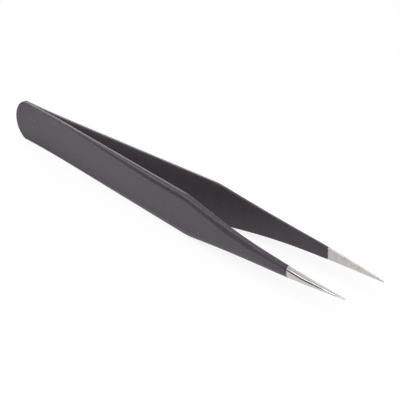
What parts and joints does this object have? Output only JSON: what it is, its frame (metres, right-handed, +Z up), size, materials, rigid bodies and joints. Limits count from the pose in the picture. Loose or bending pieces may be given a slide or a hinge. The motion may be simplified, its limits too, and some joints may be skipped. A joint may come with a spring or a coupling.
{
  "type": "anti-static tweezers",
  "caption": "Straight needle-point tweezers: thin bent arms joined at a rounded butt, bevelled along the edges and tapered to bare steel points below a dark coating.",
  "frame": {"origin": "bottom centre of the bounding box: halfway between butt and points, midway between the two arms, on the plane the long edges rest on", "axes": "+X from the butt to the points, +Y from the near arm to the far arm (the way the points open), +Z up across the arms' width"},
  "size_m": [0.12, 0.0136, 0.01],
  "materials": {
    "coated_steel": "satin dark grey anti-static coating over steel, left off the last 15 mm of each arm, where the bare steel point is ground and brushed"
  },
  "bodies": {
    "root": {"near_arm": "coated_steel", "far_arm": "coated_steel"}
  },
  "joints": []
}
